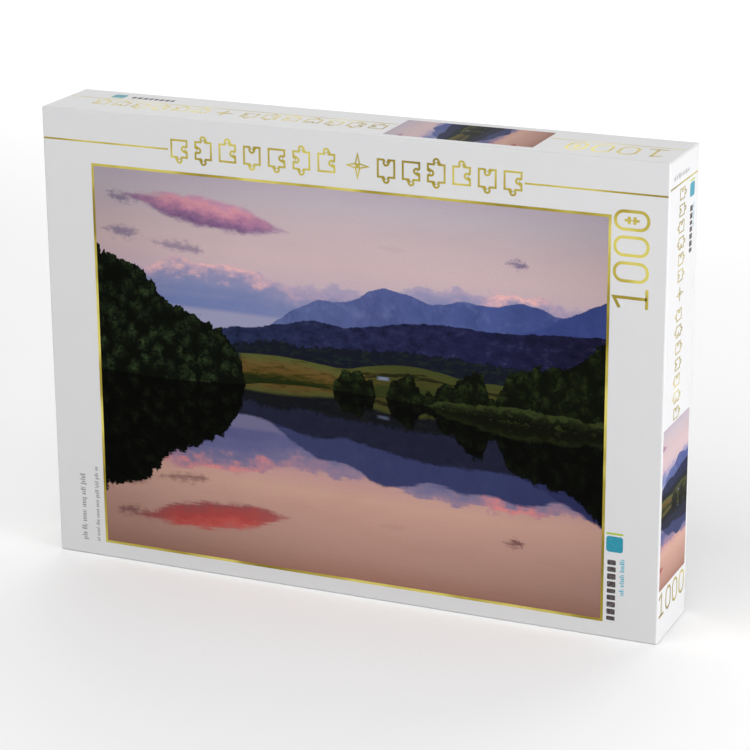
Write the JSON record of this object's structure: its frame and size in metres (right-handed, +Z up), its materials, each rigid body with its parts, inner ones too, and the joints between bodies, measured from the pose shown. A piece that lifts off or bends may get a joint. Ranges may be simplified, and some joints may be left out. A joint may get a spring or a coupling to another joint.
{
  "type": "boxed jigsaw puzzle",
  "caption": "Rigid two-part cardboard box with a lift-off lid, standing on its long edge, with a sealed bag of loose die-cut jigsaw pieces inside.",
  "frame": {"origin": "middle of the closed box's footprint, on the surface that it stands on", "axes": "+X to the right of someone who looks at the picture side, +Y from the picture side to the back, +Z up"},
  "size_m": [0.372, 0.051, 0.27],
  "materials": {
    "lid_paper": "printed, satin varnish, fine linen emboss",
    "tray_paper": "printed, satin varnish",
    "greyboard": "uncoated grey chipboard",
    "kraft_stay": "gummed kraft paper",
    "bag_film": "clear film",
    "puzzle_board": "printed satin face, blue-grey back"
  },
  "bodies": {
    "tray": {"tray_paper": "tray_paper", "tray_board": "greyboard", "tray_stay_top_right": "kraft_stay", "tray_stay_top_left": "kraft_stay", "tray_stay_bottom_left": "kraft_stay", "tray_stay_bottom_right": "kraft_stay"},
    "lid": {"lid_paper": "lid_paper", "lid_board": "greyboard", "lid_stay_top_right": "kraft_stay", "lid_stay_top_left": "kraft_stay", "lid_stay_bottom_left": "kraft_stay", "lid_stay_bottom_right": "kraft_stay"},
    "bag": {"bag_film": "bag_film", "pieces_row_01": "puzzle_board", "pieces_row_02": "puzzle_board", "pieces_row_03": "puzzle_board", "pieces_row_04": "puzzle_board", "pieces_row_05": "puzzle_board", "pieces_row_06": "puzzle_board", "pieces_row_07": "puzzle_board", "pieces_row_08": "puzzle_board", "pieces_row_09": "puzzle_board", "pieces_row_10": "puzzle_board", "pieces_row_11": "puzzle_board", "pieces_row_12": "puzzle_board", "pieces_row_13": "puzzle_board", "pieces_row_14": "puzzle_board", "pieces_row_15": "puzzle_board", "pieces_row_16": "puzzle_board", "pieces_row_17": "puzzle_board", "pieces_row_18": "puzzle_board", "pieces_row_19": "puzzle_board", "pieces_row_20": "puzzle_board", "pieces_row_21": "puzzle_board", "pieces_row_22": "puzzle_board", "pieces_row_23": "puzzle_board", "pieces_row_24": "puzzle_board", "pieces_row_25": "puzzle_board"}
  },
  "joints": [
    {"name": "lid_slide", "type": "slide", "parent": "tray", "child": "lid", "axis": [0, 1, 0], "range_m": [-0.15, 0]},
    {"name": "bag_slide", "type": "slide", "parent": "tray", "child": "bag", "axis": [0, 0, 1], "range_m": [0, 0.041]}
  ]
}
